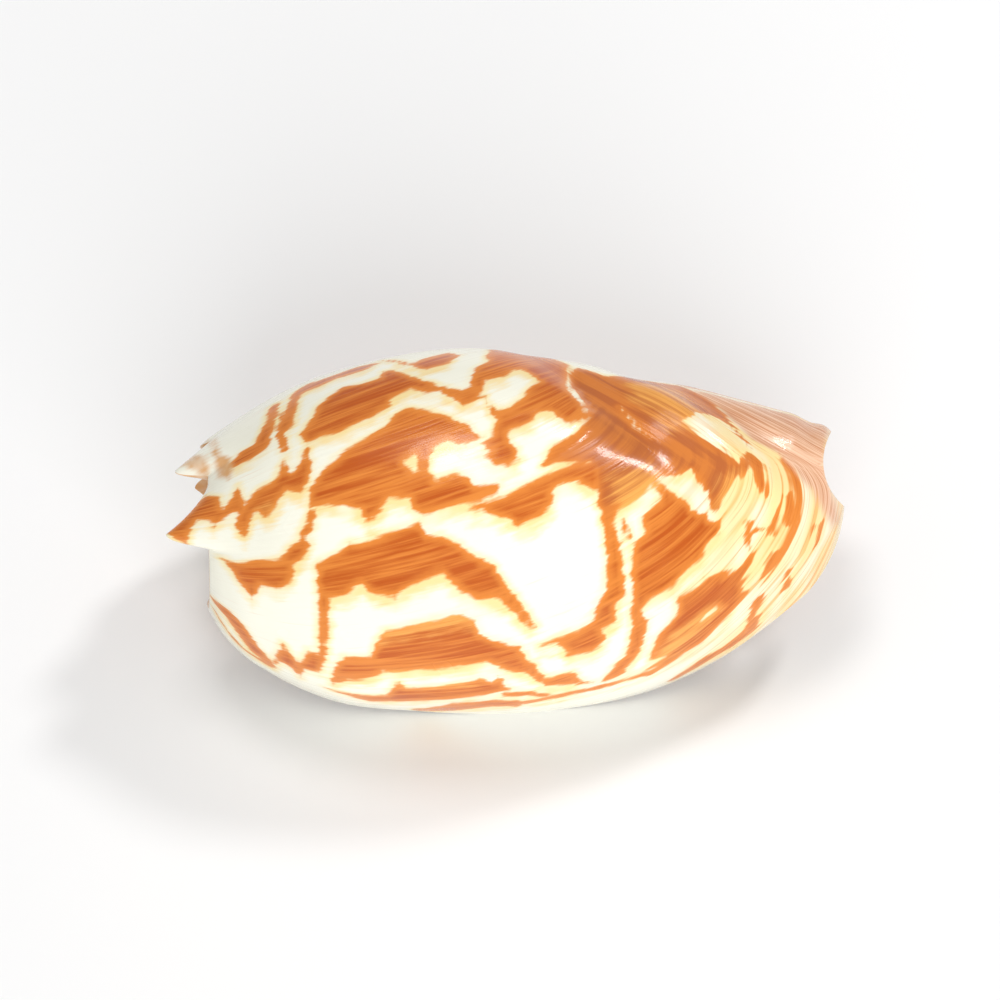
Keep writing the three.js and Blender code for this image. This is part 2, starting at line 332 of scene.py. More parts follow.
REDDISH_PATCHES = {
    "flank": (
        (570, 372), (578, 368), (605, 376), (640, 380), (680, 386), (708, 399), (733, 424), (750, 450),
        (750, 470), (735, 480), (722, 500), (720, 512), (714, 519), (708, 505), (700, 483), (690, 470),
        (676, 476), (661, 474), (648, 488), (636, 500), (616, 510), (612, 520), (604, 520), (596, 497),
        (596, 475), (590, 462), (556, 462), (541, 466), (552, 446), (578, 432), (588, 414), (585, 403),
        (570, 384)),
}
CREAM_GAPS = {
    "gap_top": (
        (486, 381), (482, 391), (489, 406), (498, 412), (510, 409), (521, 399), (531, 386), (540, 382),
        (524, 371), (512, 371), (506, 377)),
    "gap_pink": ((418, 453), (404, 461), (413, 473), (420, 472), (419, 460)),
    "slash_middle": ((668, 476), (681, 483), (690, 471), (700, 484), (709, 508), (697, 508), (682, 498)),
    "slash_ridge": (
        (683, 421), (700, 413), (718, 419), (739, 437), (747, 450), (740, 463), (722, 449), (700, 436)),
    "slash_thin": ((618, 406), (650, 437), (634, 427)),
    "slash_small": ((648, 483), (657, 502), (653, 503), (645, 490)),
    "gap_low": ((700, 621), (720, 608), (717, 605), (702, 615)),
}
FLESH_BANDS = {
    "fasciole": (
        (692, 390), (716, 406), (752, 440), (778, 453), (812, 490), (840, 520), (834, 503), (823, 465),
        (831, 432), (800, 419), (740, 402)),
}
AMBER_PATCHES = {
    "neck": ((612, 478), (630, 470), (650, 470), (655, 488), (645, 505), (628, 512), (614, 500)),
    "strip": (
        (386, 631), (412, 624), (456, 614), (475, 619), (478, 628), (455, 627), (425, 632), (384, 642)),
    "ridge": ((628, 384), (672, 390), (690, 402), (702, 418), (690, 430), (670, 428), (636, 400)),
    "right": ((722, 478), (735, 470), (742, 482), (738, 500), (728, 514), (718, 506)),
    "low": ((652, 668), (680, 648), (700, 632), (716, 612), (708, 606), (672, 636)),
    "left": ((262, 508), (272, 503), (280, 504), (278, 514), (270, 519)),
    "base": ((395, 673), (450, 671), (500, 668), (496, 677), (455, 684), (404, 686)),
}
# Tan of the second spine: its base and rim are its own colour, and on its lower face the tan is also
# painted shade of a hollow that isn't modelled.
TAN_AND_SHADE_PATCHES = {
    "second_spine_shaded_face": ((178, 471), (184, 466), (206, 468), (210, 475), (205, 480), (183, 477)),
    "second_spine_base": ((217, 460), (232, 458), (234, 470), (230, 480), (219, 478)),
    "second_spine_rim": ((206, 443), (214, 441), (222, 460), (214, 462)),
}

# Narrow markings as strokes, in the same pixels: (across, down, half the width).
BROWN_STROKES = {
    "hook": ((275, 406, 5), (272, 420, 5), (267, 433, 7), (262, 446, 9), (248, 455, 12), (238, 462, 8)),
    "squiggle": (
        (310, 385, 7), (300, 392, 7), (294, 402, 5), (291, 414, 6), (287, 424, 9), (281, 433, 4),
        (286, 450, 4)),
    "squiggle_link": ((277, 413, 2), (284, 419, 2), (290, 412, 2)),
    "top_rim": ((303, 391, 8), (318, 384, 11), (335, 377, 9), (360, 369, 12), (373, 365, 6)),
    "left_bottom": ((216, 602, 5), (226, 611, 10), (238, 624, 9), (258, 652, 9), (272, 665, 5)),
    "left_edge": ((215, 610, 2), (238, 643, 3), (270, 665, 4)),
    "bottom_rim": ((420, 710, 8), (455, 707, 12), (490, 703, 8), (514, 703, 9)),
    "bottom_thread": ((505, 693, 4), (530, 693, 4), (549, 695, 3)),
    "low_thread": ((505, 704, 4), (570, 693, 4), (620, 681, 3), (650, 672, 3), (680, 655, 2)),
    "chain_right": (
        (640, 598, 8), (635, 610, 6), (639, 622, 7), (635, 645, 7), (629, 657, 7), (618, 668, 7),
        (605, 679, 3)),
    "beside_column": ((622, 520, 2), (628, 537, 3)),
    "right_rim": ((758, 599, 6), (751, 615, 5), (752, 629, 8), (732, 644, 9), (704, 660, 9), (672, 680, 5)),
    "growth_streak": (
        (777, 450, 3), (793, 474, 3), (800, 500, 2.5), (797, 522, 3), (785, 550, 3), (753, 601, 2)),
    "fleck_high": ((748, 452, 3), (753, 465, 7), (758, 480, 5), (767, 495, 2)),
    "fleck_middle": ((749, 523, 4), (746, 536, 5), (748, 548, 3)),
    "fleck_beside": ((754, 531, 4), (766, 528, 4)),
    "fleck_curved": ((771, 534, 3), (774, 518, 4), (775, 505, 2)),
    "fleck_right": ((787, 496, 3), (789, 510, 4), (787, 524, 2)),
    "fleck_tail": ((764, 574, 2), (769, 563, 4), (774, 553, 2)),
    "fleck_low": ((786, 587, 4), (787, 571, 2)),
    "fleck_nose": ((818, 524, 4), (816, 544, 3)),
}

# Markings of the far side, in the same manner as the near ones: (along the axis in mm, degrees around).
FAR_PATCHES = {
    "far_saddle": (
        (26, 98), (34, 94), (44, 98), (52, 92), (62, 95), (70, 92), (76, 98), (70, 103), (74, 109),
        (64, 112), (58, 108), (50, 114), (44, 111), (38, 118), (30, 114), (32, 107)),
    "far_diagonal": (
        (22, 130), (32, 124), (40, 129), (48, 122), (58, 126), (66, 120), (74, 124), (82, 118), (90, 124),
        (86, 132), (90, 138), (78, 141), (70, 137), (64, 144), (54, 142), (50, 150), (40, 147), (32, 153),
        (24, 147), (28, 139)),
    "far_right": (
        (92, 90), (100, 88), (106, 96), (103, 104), (108, 112), (100, 118), (94, 112), (97, 104), (90, 98)),
    "far_low": (
        (28, 166), (38, 160), (46, 164), (56, 157), (66, 159), (74, 152), (84, 154), (92, 146), (98, 152),
        (92, 160), (84, 163), (80, 169), (70, 168), (62, 175), (50, 173), (42, 180), (32, 176)),
    "far_tail": (
        (98, 126), (106, 121), (112, 127), (109, 136), (113, 142), (104, 148), (98, 142), (101, 135)),
    "belly_left": (
        (20, 182), (30, 186), (40, 184), (50, 190), (58, 187), (54, 195), (44, 199), (36, 196), (26, 199)),
    "belly_right": (
        (64, 182), (74, 178), (80, 180), (90, 170), (100, 166), (102, 174), (92, 182), (84, 188), (72, 193),
        (66, 189)),
}

# Narrow markings of the far side: (along the axis in mm, degrees around, half the width in mm).
FAR_STROKES = {
    "far_column": (
        (15, 90, 1.2), (18, 104, 2.2), (15, 118, 1.2), (19, 132, 2.2), (16, 150, 1.6), (18, 164, 0.8)),
    "far_link": ((76, 98, 0.8), (84, 108, 2), (80, 118, 1.2), (88, 126, 1.6)),
    "far_hook": ((30, 114, 0.8), (24, 120, 1.6), (27, 128, 1)),
}


def mix(a, b, share):
    return a + (b - a) * share


def ease(t):
    t = np.clip(t, 0.0, 1.0)
    return t * t * (3.0 - 2.0 * t)


def bell(distance, width):
    return np.exp(-((distance / width) ** 2))


def curve_through(stations):
    """A smooth curve through a few (position, value) stations."""
    at = np.array([position for position, _ in stations], dtype=float)
    value = np.array([v for _, v in stations], dtype=float)
    gap = np.diff(at)
    rise = np.diff(value) / gap
    slope = np.empty(len(at))
    slope[0] = rise[0]
    slope[-1] = rise[-1]
    slope[1:-1] = (rise[:-1] * gap[1:] + rise[1:] * gap[:-1]) / (gap[:-1] + gap[1:])

    def curve(position):
        p = np.clip(position, at[0], at[-1])
        i = np.clip(np.searchsorted(at, p, side="right") - 1, 0, len(at) - 2)
        t = (p - at[i]) / gap[i]
        start = value[i] + t * (value[i + 1] - value[i])
        bend = t * (1 - t) * gap[i]
        return start + bend * ((1 - t) * (slope[i] - rise[i]) - t * (slope[i + 1] - rise[i]))

    return curve


lip_radius = curve_through(LIP_RADIUS)
top_radius = curve_through(TOP_RADIUS)
columella_radius = curve_through(COLUMELLA_RADIUS)
fasciole_x = curve_through(FASCIOLE_X)


def lip_around(x):
    """Angle at which the outer lip ends, which twists towards the nose."""
    return LIP_AROUND + LIP_TWIST * ease((x - LIP_TWIST_FROM_X) / LIP_TWIST_OVER)


def nose_closing(x):
    """Share of its radius that the shell keeps as it rounds off at the nose."""
    share = np.clip((x - NOSE_ROUNDING_X) / (NOSE_X - NOSE_ROUNDING_X), 0.0, 1.0)
    return np.sqrt(np.maximum(0.0, 1.0 - share ** NOSE_POWER))


def pillar_radius(x, around):
    """Radius of the pillar inside the shell, with its oblique folds."""
    slide = FOLD_SLANT * (around - (LIP_AROUND + TURN))
    folds = sum(FOLD_HEIGHT * bell(x - fold_x + slide, FOLD_WIDTH) for fold_x in FOLD_X)
    return columella_radius(x) + folds


def fasciole_relief(x, around):
    """Low ridge, valley and groove left by earlier siphonal notches."""
    first, last = FASCIOLE_X[0][0], FASCIOLE_X[-1][0]
    shown = ease((around - first) / FASCIOLE_FADE) * ease((last - around) / FASCIOLE_FADE)
    worn = mix(1.0, FASCIOLE_WORN, ease((around - FASCIOLE_WORN_AROUND) / FASCIOLE_FADE))
    beside = x - fasciole_x(around)
    return shown * worn * sum(h * bell(beside - offset, width) for offset, width, h in FASCIOLE_FORMS)


def body_radius(x, around):
    """Radius of the outside, which tightens over the back and folds in to the pillar."""
    under = lip_radius(x)
    spiral = under * (top_radius(x) / under) ** ((around - UNDERNEATH) / (TURN / 2))
    fold = ease((around - INNER_LIP_AROUND) / (LIP_AROUND + TURN - INNER_LIP_AROUND))
    return mix(spiral + fasciole_relief(x, around), pillar_radius(x, around), fold) * nose_closing(x)


def pixel_size():
    """Width of one of the photograph's pixels at the shell, in millimetres."""
    return bpy.context.scene.shell_sizes.frame_width / PHOTO_PIXELS / MM


def from_photo(pixels):
    """Places along the axis, and heights over it as the photograph looks, at which pixels show."""
    across = (pixels[..., 0] - PHOTO_ORIGIN[0]) * pixel_size()
    up = (PHOTO_ORIGIN[1] - pixels[..., 1]) * pixel_size()
    tilt = math.atan(AXIS_RISE)
    return across * math.cos(tilt) + up * math.sin(tilt), up * math.cos(tilt) - across * math.sin(tilt)


def onto_shell(pixels):
    """Where photo pixels lie on the near side: along the axis in millimetres, and degrees around."""
    x, height = from_photo(np.array(pixels, dtype=float))
    around = np.zeros_like(x)
    for _ in range(SETTLING_STEPS):
        share = height / np.maximum(body_radius(x, around), LEAST_RADIUS)
        on_shell = np.clip(share, -1.0, 1.0)
        past = np.clip(share - on_shell, -OVER_EDGE_MOST, OVER_EDGE_MOST)
        around = mix(around, np.degrees(np.arcsin(on_shell)) + OVER_EDGE * past, SETTLING_SHARE)
    return np.stack([x, around], axis=-1)


def unrolled(places):
    """Places (along the axis, degrees around) in millimetres on the unrolled back."""
    return np.asarray(places, dtype=float) * (1.0, MM_PER_DEGREE)


def off_line(points, a, b):
    """The share of the way from a to b that lies nearest to each point, and how far off the point is."""
    edge = b - a
    share = np.clip((points - a) @ edge / (edge @ edge), 0.0, 1.0)
    return share, np.linalg.norm(points - a - share[..., None] * edge, axis=-1)


def scar_relief(x, around):
    """Drop on the nose side of the healed break, which fades away from it."""
    line = unrolled(onto_shell(SCAR_LINE))
    points = unrolled(np.stack([x, around], axis=-1))
    least = np.full(x.shape, np.inf)
    side = np.zeros(x.shape)
    along = np.zeros(x.shape)
    passed = 0.0
    for a, b in zip(line[:-1], line[1:]):
        edge = b - a
        length = np.linalg.norm(edge)
        share, distance = off_line(points, a, b)
        nearer = distance < least
        across = (edge[0] * (points - a)[..., 1] - edge[1] * (points - a)[..., 0]) / length
        least = np.where(nearer, distance, least)
        side = np.where(nearer, across, side)
        along = np.where(nearer, passed + share * length, along)
        passed += length
    ends = ease(along / SCAR_END_FADE) * ease((passed - along) / SCAR_END_FADE)
    beyond = ease(side / SCAR_EDGE / 2.0 + 0.5) * np.exp(-least / SCAR_FADE)
    return -SCAR_DROP * ends * beyond


def spine_height(around):
    """Height of the crown's spines: each rises slowly with growth and breaks off towards the lip."""
    total = np.zeros_like(around)
    for k, height in enumerate(SPINE_HEIGHTS):
        behind = around - (FIRST_SPINE_AROUND + k * SPINE_SPACING)
        rising = np.maximum(0.0, 1.0 - behind / SPINE_RISE) ** SPINE_SHARPNESS
        falling = np.maximum(0.0, 1.0 - (behind / SPINE_FALL) ** 2)
        total += height * np.where(behind >= 0, rising, falling)
    return total


def first_whorls(radius, around):
    """Share of the way from one suture of the first whorls to the next."""
    return ((radius - WHORL_PITCH * (LIP_AROUND + TURN - around) / TURN) / WHORL_PITCH) % 1.0


def place(x, radius, around):
    """Points at these distances along the axis, radii and angles around it."""
    angle = np.radians(around)
    return np.stack([x, -radius * np.cos(angle), radius * np.sin(angle)], axis=-1)


def body_surface(turn, station):
    """Points of the outside with their place along the axis, angle and share of the way into the crown.

    turn runs 0 to 1 from the lip back, and station runs 0 to 1 from the apex to the nose.
    """
    shoulder_x = SHOULDER_X + SHOULDER_SINK * turn

    crown_around = LIP_AROUND + TURN * turn
    rim = body_radius(shoulder_x, crown_around)
    radius = rim * np.minimum(station / CROWN_SHARE, 1.0)
    inward = ease((rim - radius) / (rim - PROTOCONCH_SEAT * PROTOCONCH_RADIUS))
    dome = PROTOCONCH_HEIGHT * np.sqrt(np.maximum(0.0, 1.0 - (radius / PROTOCONCH_RADIUS) ** 2))
    crown_spine = spine_height(crown_around) * bell(rim - radius, SPINE_RAMP_REACH)
    low, high = WHORL_END
    in_whorls = ease((high - radius) / (high - low))
    off_seam = np.sin(np.pi * first_whorls(radius, crown_around))
    swell = WHORL_SWELL * off_seam ** WHORL_ROUNDING * in_whorls
    crown = place(mix(shoulder_x, SPIRE_FLOOR_X, inward) - dome - swell - crown_spine,
                  radius - SPINE_LEAN * crown_spine, crown_around)

    along = np.clip((station - CROWN_SHARE) / (1.0 - CROWN_SHARE), 0.0, 1.0)
    spaced = mix(along, (1.0 - np.cos(np.pi * along)) / 2.0, STATION_CROWDING)
    x = mix(shoulder_x, NOSE_X, spaced)
    around = lip_around(x) + TURN * turn
    spine = spine_height(around) * bell(x - shoulder_x, SPINE_BODY_REACH)
    back = place(x - spine, body_radius(x, around) + scar_relief(x, around) - SPINE_LEAN * spine, around)

    in_crown = station < CROWN_SHARE
    points = np.where(in_crown[..., None], crown, back)
    seam = in_whorls * bell(off_seam, SEAM_WIDTH)
    return (points, np.where(in_crown, shoulder_x, x), np.where(in_crown, crown_around, around),
            np.where(in_crown, inward, 0.0), np.where(in_crown, seam, 0.0))


def cavity_surface(depth, loop):
    """Points of the hollow: depth runs from the mouth inwards, loop once round its section."""
    back = mix(CAVITY_FRONT, CAVITY_DEPTH, depth)
    shoulder_x = SHOULDER_X + SHOULDER_SINK * np.maximum(0.0, back / TURN) + CAVITY_SHOULDER
    x = mix(shoulder_x, CAVITY_NOSE_X, (1.0 - np.cos(2 * np.pi * loop)) / 2.0)
    around = lip_around(x) + back
    tightening = 1.0 - CAVITY_TIGHTENING * np.maximum(0.0, back) / TURN
    before_lip = body_radius(x, around + TURN)
    behind_lip = pillar_radius(x, around + TURN) * nose_closing(x)
    wrapped = np.where(back < 0, before_lip, behind_lip)
    inner = wrapped * tightening + COLUMELLA_SKIN + MOUTH_CLEARANCE * np.maximum(0.0, -back)
    wall = bpy.context.scene.shell_sizes.wall / MM
    outer = np.maximum(body_radius(x, np.maximum(around, lip_around(x))) - wall, inner + CAVITY_LEAST)
    side = np.sin(2 * np.pi * loop)
    openness = np.sign(side) * np.sqrt(np.minimum(1.0, np.abs(side) * CAVITY_CORNER))
    return place(x, mix(inner, outer, (1.0 + openness) / 2.0), around)


def outline_distance(points, outline):
    """How far points lie inside (+) or outside (-) an outline, in millimetres, out to MARK_REACH."""
    corners = unrolled(outline)
    low, high = corners.min(axis=0) - MARK_REACH, corners.max(axis=0) + MARK_REACH
    near = np.all((points > low) & (points < high), axis=1)
    result = np.full(len(points), -MARK_REACH)
    p = points[near]
    least = np.full(len(p), MARK_REACH)
    inside = np.zeros(len(p), dtype=bool)
    for a, b in zip(corners, np.roll(corners, -1, axis=0)):
        least = np.minimum(least, off_line(p, a, b)[1])
        if a[1] != b[1]:
            crosses = (a[1] > p[:, 1]) != (b[1] > p[:, 1])
            inside ^= crosses & (p[:, 0] < a[0] + (p[:, 1] - a[1]) * (b[0] - a[0]) / (b[1] - a[1]))
    result[near] = np.where(inside, least, -least)
    return result


def stroke_distance(points, line, halves):
    """How far points lie inside (+) or outside (-) a stroke with these half widths."""
    corners = unrolled(line)
    result = np.full(len(points), -MARK_REACH)
    for a, b, from_half, to_half in zip(corners[:-1], corners[1:], halves[:-1], halves[1:]):
        share, distance = off_line(points, a, b)
        result = np.maximum(result, mix(from_half, to_half, share) - distance)
    return result


def patch_distance(points, patches):
    """Distance into the nearest of the patches that were read in photo pixels."""
    return np.max([outline_distance(points, onto_shell(outline)) for outline in patches.values()], axis=0)


def brown_distance(points):
    """Distance into the nearest brown marking of either side."""
    inside = [patch_distance(points, {**BROWN_PATCHES, **REDDISH_PATCHES})]
    inside += [outline_distance(points, outline) for outline in FAR_PATCHES.values()]
    for stroke in map(np.array, BROWN_STROKES.values()):
        inside.append(stroke_distance(points, onto_shell(stroke), stroke[:, 2] * pixel_size()))
    for stroke in map(np.array, FAR_STROKES.values()):
        inside.append(stroke_distance(points, stroke[:, :2], stroke[:, 2]))
    return np.max(inside, axis=0)


def growth_angle(x, around):
    """Angle at which the growth line through a point left the shoulder."""
    low, high = HOOK_AROUND
    swing = mix(*HOOK_SWING, ease((around - low) / (high - low)))
    beside = np.maximum(fasciole_x(around) - x, HOOK_LEAST_BESIDE)
    return around - GROWTH_SLOPE * x - swing * np.exp(-beside / HOOK_REACH)


def surface_values(points, x, around, crown, seam):
    """Values over the outside that the finish follows, by name."""
    here = unrolled(np.stack([points[:, 0], around], axis=-1))
    above = here + unrolled((0.0, BLEED_DEGREES))
    gaps = patch_distance(here, CREAM_GAPS)
    kept_out = np.where(crown > 0, 2.0 * MARK_REACH, 0.0)
    growth = growth_angle(x, around) * MM_PER_DEGREE
    beside = x - fasciole_x(around)
    far_flesh = np.minimum(beside - FAR_FLESH_BESIDE, (around - FAR_FLESH_AROUND) * MM_PER_DEGREE)
    low, high = NOSE_GRAIN_AROUND
    zero = np.zeros_like(x)
    return {
        "mark": np.minimum(brown_distance(here), -gaps) - kept_out,
        "bleed": np.minimum(brown_distance(above), -patch_distance(above, CREAM_GAPS)) - kept_out,
        "reddish": np.minimum(patch_distance(here, REDDISH_PATCHES), -gaps),
        "flesh": np.maximum(patch_distance(here, FLESH_BANDS), far_flesh - kept_out),
        "amber": patch_distance(here, AMBER_PATCHES),
        # Tan over the crown, and on the second spine, whose lower face gets painted shade.
        "tan": np.where(crown > 0, MARK_REACH, patch_distance(here, TAN_AND_SHADE_PATCHES)),
        "glaze": np.where(crown > 0, 0.0, ease((around - GLAZE_FROM) / GLAZE_OVER)),
        "warm": ease((x - WARM_FROM_X) / WARM_OVER),
        "nose": ease((beside + NOSE_GRAIN_BESIDE) / NOSE_GRAIN_FADE) * ease((around - low) / (high - low)),
        "crown": crown,
        "seam": seam,
        "grain": np.stack([x, growth, zero], axis=-1),
        "nose_grain": np.stack([around * MM_PER_DEGREE, beside + NOSE_GRAIN_SLANT * around, zero], axis=-1),
    }


def rest_matrix():
    """From the shell's own frame in millimetres to where the CAD shell lies, in metres."""
    pitch = Matrix.Rotation(math.radians(REST_PITCH), 4, "Y")
    turned = pitch @ Matrix.Rotation(math.radians(REST_ROLL), 4, "X")
    turn, station = np.meshgrid(np.linspace(0, 1, TURN_STEPS + 1), np.linspace(0, 1, STATIONS + 1))
    points = body_surface(turn, station)[0].reshape(-1, 3) @ np.array(turned.to_3x3()).T
    low, high = points.min(axis=0), points.max(axis=0)
    cad_low, cad_high = (np.array(corner) / MM for corner in CAD_BOX)
    crown_end = cad_low[0] - low[0]
    middle = (cad_low[1] + cad_high[1] - low[1] - high[1]) / 2.0
    top = cad_high[2] - high[2]
    return Matrix.Scale(MM, 4) @ Matrix.Translation((crown_end, middle, top)) @ turned


def sphere_shares(columns, rows):
    """A sphere's mesh and, for each of its vertices, the column and row it stands in."""
    bm = bmesh.new()
    bmesh.ops.create_uvsphere(bm, u_segments=columns, v_segments=rows, radius=1.0)
    at = np.array([vertex.co[:] for vertex in bm.verts])
    column = np.rint(np.arctan2(at[:, 1], at[:, 0]) / (2 * np.pi) * columns).astype(int) % columns
    row = np.rint(np.arccos(np.clip(at[:, 2], -1.0, 1.0)) / np.pi * rows).astype(int)
    return bm, column, row


def as_piece(bm, name):
    """An object of its own for a modelled mesh."""
    mesh = bpy.data.meshes.new(name)
    bm.to_mesh(mesh)
    bm.free()
    piece = bpy.data.objects.new(name, mesh)
    bpy.context.scene.collection.objects.link(piece)
    return piece


def bent(bm, points, name):
    """Move a sphere's vertices to their points and give it an object of its own."""
    for vertex, point in zip(bm.verts, points):
        vertex.co = point
    bmesh.ops.recalc_face_normals(bm, faces=bm.faces)
    return as_piece(bm, name)


def grow_body():
    """The solid outside, with the surface values that its colours follow."""
    bm, column, row = sphere_shares(TURN_STEPS + 1, STATIONS)
    points, x, around, crown, seam = body_surface(column / TURN_STEPS, row / STATIONS)
    return bent(bm, points, "grown_body"), points, x, around, crown, seam


def grow_cavity():
    """The hollow as a solid to take away."""
    bm, column, row = sphere_shares(CAVITY_LOOP_STEPS, CAVITY_DEPTH_STEPS)
    depth = np.clip((row - 1) / (CAVITY_DEPTH_STEPS - 2), 0.0, 1.0)
    points = cavity_surface(depth, column / CAVITY_LOOP_STEPS)
    quarter = np.full(len(row), 0.25)
    cap = mix(cavity_surface(depth, quarter), cavity_surface(depth, 3 * quarter), CAVITY_END_SHARE)
    at_pole = (row == 0) | (row == CAVITY_DEPTH_STEPS)
    points = np.where(at_pole[:, None], cap, points)
    return bent(bm, points, "hollow"), points


def notch_cutter():
    """The round cutter of the siphonal notch."""
    bm = bmesh.new()
    x, z = NOTCH_PLACE
    lie = Matrix.Translation((x, 0, z)) @ Matrix.Rotation(math.radians(90), 4, "X")
    bmesh.ops.create_cone(bm, cap_ends=True, segments=NOTCH_SEGMENTS, radius1=NOTCH_RADIUS,
                          radius2=NOTCH_RADIUS, depth=NOTCH_LENGTH, matrix=lie)
    return as_piece(bm, "notch")


def taken_away(body, cutters):
    """The body less its cutters, as one mesh; the body and the cutters are removed."""
    for cutter in cutters:
        cut = body.modifiers.new(cutter.name, "BOOLEAN")
        cut.operation = "DIFFERENCE"
        cut.solver = "MANIFOLD"
        cut.object = cutter
    bpy.context.view_layer.update()
    graph = bpy.context.evaluated_depsgraph_get()
    mesh = bpy.data.meshes.new_from_object(body.evaluated_get(graph))
    for piece in (body, *cutters):
        old = piece.data
        bpy.data.objects.remove(piece)
        bpy.data.meshes.remove(old)
    if not mesh.polygons:
        raise RuntimeError("the hollow and the notch left nothing of the shell")
    return mesh


def tree_of(points):
    """A search tree over points."""
    tree = kdtree.KDTree(len(points))
    for i, point in enumerate(points):
        tree.insert(point, i)
    tree.balance()
    return tree


def colour(name, description, default):
    """A colour of the finish or the floor as a property."""
    return FloatVectorProperty(
        name=name, description=description, subtype="COLOR", size=3, default=default, min=0, max=1)


class ShellSizes(bpy.types.PropertyGroup):
    wall: FloatProperty(
        name="Wall", description="Thickness of the outer wall", default=0.0024, unit="LENGTH")
    camera_distance: FloatProperty(
        name="Camera distance", description="From the camera to the shell's axis", default=5.0,
        unit="LENGTH")
    frame_width: FloatProperty(
        name="Frame width", description="Width of the picture at the shell", default=0.2455, unit="LENGTH")


class ShellColours(bpy.types.PropertyGroup):
    cream: colour("Cream", "Ground colour of the back", (0.96, 0.945, 0.81))
    warm: colour("Warm ground", "Ground colour towards the nose", (0.98, 0.75, 0.34))
    halo: colour("Halo", "Yellow edge of the ground beside a patch", (0.99, 0.80, 0.36))
    amber: colour("Amber", "Yellow-orange places in the patches", (0.91, 0.42, 0.10))
    orange: colour("Orange", "Rims and light streaks of the patches", (0.80, 0.26, 0.045))
    brown: colour("Brown", "Middle of the patches", (0.50, 0.085, 0.008))
    reddish: colour("Reddish brown", "Streaks on the flank", (0.46, 0.12, 0.035))
    flesh: colour("Flesh", "Band along the fasciole", (0.62, 0.25, 0.12))
    pale_flesh: colour("Pale flesh", "Growth lines of the band", (0.93, 0.60, 0.41))
    first_whorl: colour("First whorl", "Rounded first whorls in the crown", (0.56, 0.25, 0.09))
    # Tan is the crown's own colour, and on the second spine's lower face it is also painted shade.
    tan: colour("Tan", "Hollow faces of the spines and the crown", (0.74, 0.40, 0.17))
    glaze: colour("Glaze", "Inside of the mouth", (0.90, 0.60, 0.34))
    floor: colour("Floor", "Colour of the floor", (0.92, 0.92, 0.92))


class Finish:
    """Nodes of one material, added and wired one at a time."""

    def __init__(self, name):
        self.material = bpy.data.materials.new(name)
        self.material.use_nodes = True
        self.tree = self.material.node_tree
        self.shader = self.tree.nodes["Principled BSDF"]

    def node(self, kind, **settings):
        node = self.tree.nodes.new(kind)
        for name, value in settings.items():
            setattr(node, name, value)
        return node

    def feed(self, socket, value):
        if isinstance(value, bpy.types.NodeSocket):
            self.tree.links.new(value, socket)
        else:
            socket.default_value = value

    def value(self, name):
        return self.node("ShaderNodeAttribute", attribute_name=name).outputs["Fac"]

    def vector(self, name):
        return self.node("ShaderNodeAttribute", attribute_name=name).outputs["Vector"]

    def stretched(self, vector, scale):
        node = self.node("ShaderNodeVectorMath", operation="MULTIPLY")
        self.feed(node.inputs[0], vector)
        node.inputs[1].default_value = scale
        return node.outputs["Vector"]

    def noise(self, vector, detail=2.0, roughness=0.5):
        node = self.node("ShaderNodeTexNoise")
        self.feed(node.inputs["Vector"], vector)
        node.inputs["Scale"].default_value = 1.0
        node.inputs["Detail"].default_value = detail
        node.inputs["Roughness"].default_value = roughness
        return node.outputs["Fac"]

    def sum(self, first, second, operation="ADD"):
        node = self.node("ShaderNodeMath", operation=operation)
        self.feed(node.inputs[0], first)
        self.feed(node.inputs[1], second)
        return node.outputs[0]

    def product(self, first, second):
        return self.sum(first, second, "MULTIPLY")

    def span(self, value, low, high, to_low=0.0, to_high=1.0, smooth=True):
        node = self.node("ShaderNodeMapRange", interpolation_type="SMOOTHSTEP" if smooth else "LINEAR")
        self.feed(node.inputs["Value"], value)
        node.inputs["From Min"].default_value = low
        node.inputs["From Max"].default_value = high
        node.inputs["To Min"].default_value = to_low
        node.inputs["To Max"].default_value = to_high
        return node.outputs["Result"]

    def swung(self, noise, reach):
        return self.span(noise, *NOISE_RANGE, -reach, reach, smooth=False)

    def between(self, share, first, second):
        node = self.node("ShaderNodeMix", data_type="FLOAT")
        self.feed(node.inputs[0], share)
        self.feed(node.inputs[2], first)
        self.feed(node.inputs[3], second)
        return node.outputs[0]

    def blend(self, share, first, second):
        node = self.node("ShaderNodeMix", data_type="RGBA")
        self.feed(node.inputs["Factor"], share)
        self.feed(node.inputs[6], first if isinstance(first, bpy.types.NodeSocket) else (*first, 1))
        self.feed(node.inputs[7], second if isinstance(second, bpy.types.NodeSocket) else (*second, 1))
        return node.outputs[2]


def growth_noise(finish):
    """Noises that the paint follows: growth lines from fine to ragged, clouds and spots."""
    grain = finish.vector("grain")
    nose_grain = finish.vector("nose_grain")
    nose = finish.value("nose")

    def lines(scale, **settings):
        on_back = finish.noise(finish.stretched(grain, (*scale, 1.0)), **settings)
        on_nose = finish.noise(finish.stretched(nose_grain, (*scale, 1.0)), **settings)
        return finish.between(nose, on_back, on_nose)

    place_in_shell = finish.node("ShaderNodeTexCoord").outputs["Object"]
    return {
        "fine": lines(FINE_LINES, detail=3.0, roughness=0.6),
        "broad": lines(BROAD_LINES),
        "ragged": lines(RAGGED_LINES, detail=3.0),
        "cloud": finish.noise(finish.stretched(grain, (*CLOUDS, 1.0))),
        "spots": finish.noise(finish.stretched(place_in_shell, (SPOTS_PER_METRE,) * 3)),
    }


